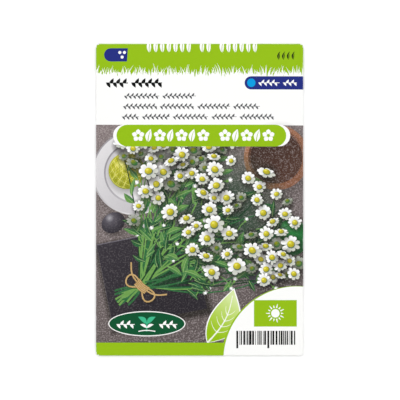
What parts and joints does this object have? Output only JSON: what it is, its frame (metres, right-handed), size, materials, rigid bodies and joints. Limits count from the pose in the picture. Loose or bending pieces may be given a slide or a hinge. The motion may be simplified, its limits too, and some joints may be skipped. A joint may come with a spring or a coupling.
{
  "type": "seed packet",
  "caption": "Flat rectangular paper seed packet, a folded sheet with side flaps and a closing flap, lying on its back and holding a sealed foil sachet of fine herb seed.",
  "frame": {"origin": "middle of the footprint, on the surface that the packet's back rests on", "axes": "+X across the front to the right, +Y up the front to the top edge, +Z out of the front"},
  "size_m": [0.108, 0.1626, 0.003],
  "materials": {
    "printed_paper": "coated paper, printed all over, satin varnish",
    "laminated_film": "metallised laminate, satin silver",
    "seed": "dry, matt, straw brown"
  },
  "bodies": {
    "root": {"paper_envelope": "printed_paper", "foil_sachet": "laminated_film", "seed_heap": "seed"}
  },
  "joints": []
}
